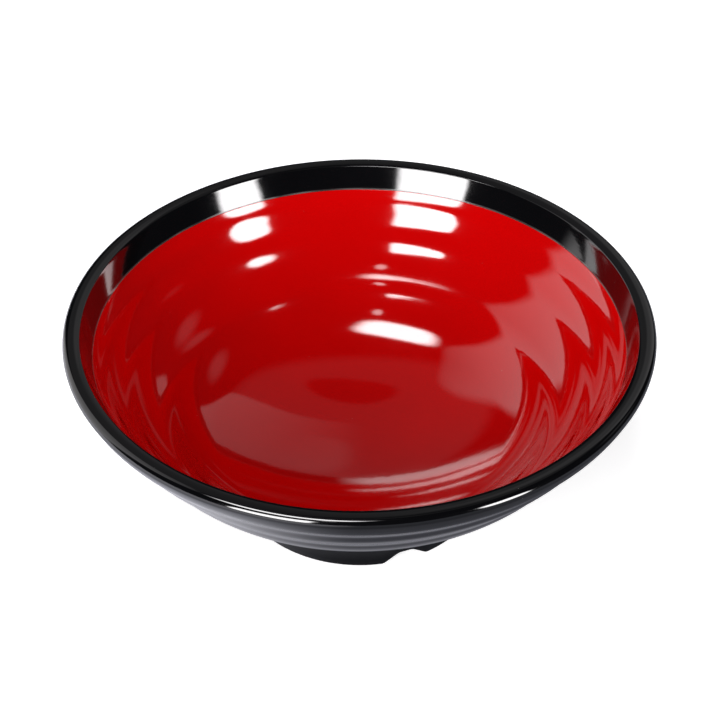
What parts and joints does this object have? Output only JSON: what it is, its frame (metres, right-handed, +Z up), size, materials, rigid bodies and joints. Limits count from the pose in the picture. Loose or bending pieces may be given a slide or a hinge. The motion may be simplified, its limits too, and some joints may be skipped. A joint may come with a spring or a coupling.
{
  "type": "noodle bowl",
  "caption": "Wide flared noodle bowl with a rounded black rim, a softly rippled black outside on a notched foot ring, and a glossy red lining with the same ripples.",
  "frame": {"origin": "centre of the foot ring's underside, on the surface the bowl stands on", "axes": "+Z up along the bowl's axis of turning; -Y is the front, and one drain notch lies 20.4 degrees from it towards +X"},
  "size_m": [0.21, 0.21, 0.0783],
  "materials": {
    "black_melamine": "high gloss, moulded",
    "red_melamine": "high gloss, moulded"
  },
  "bodies": {
    "root": {"black_shell": "black_melamine", "red_lining": "red_melamine"}
  },
  "joints": []
}
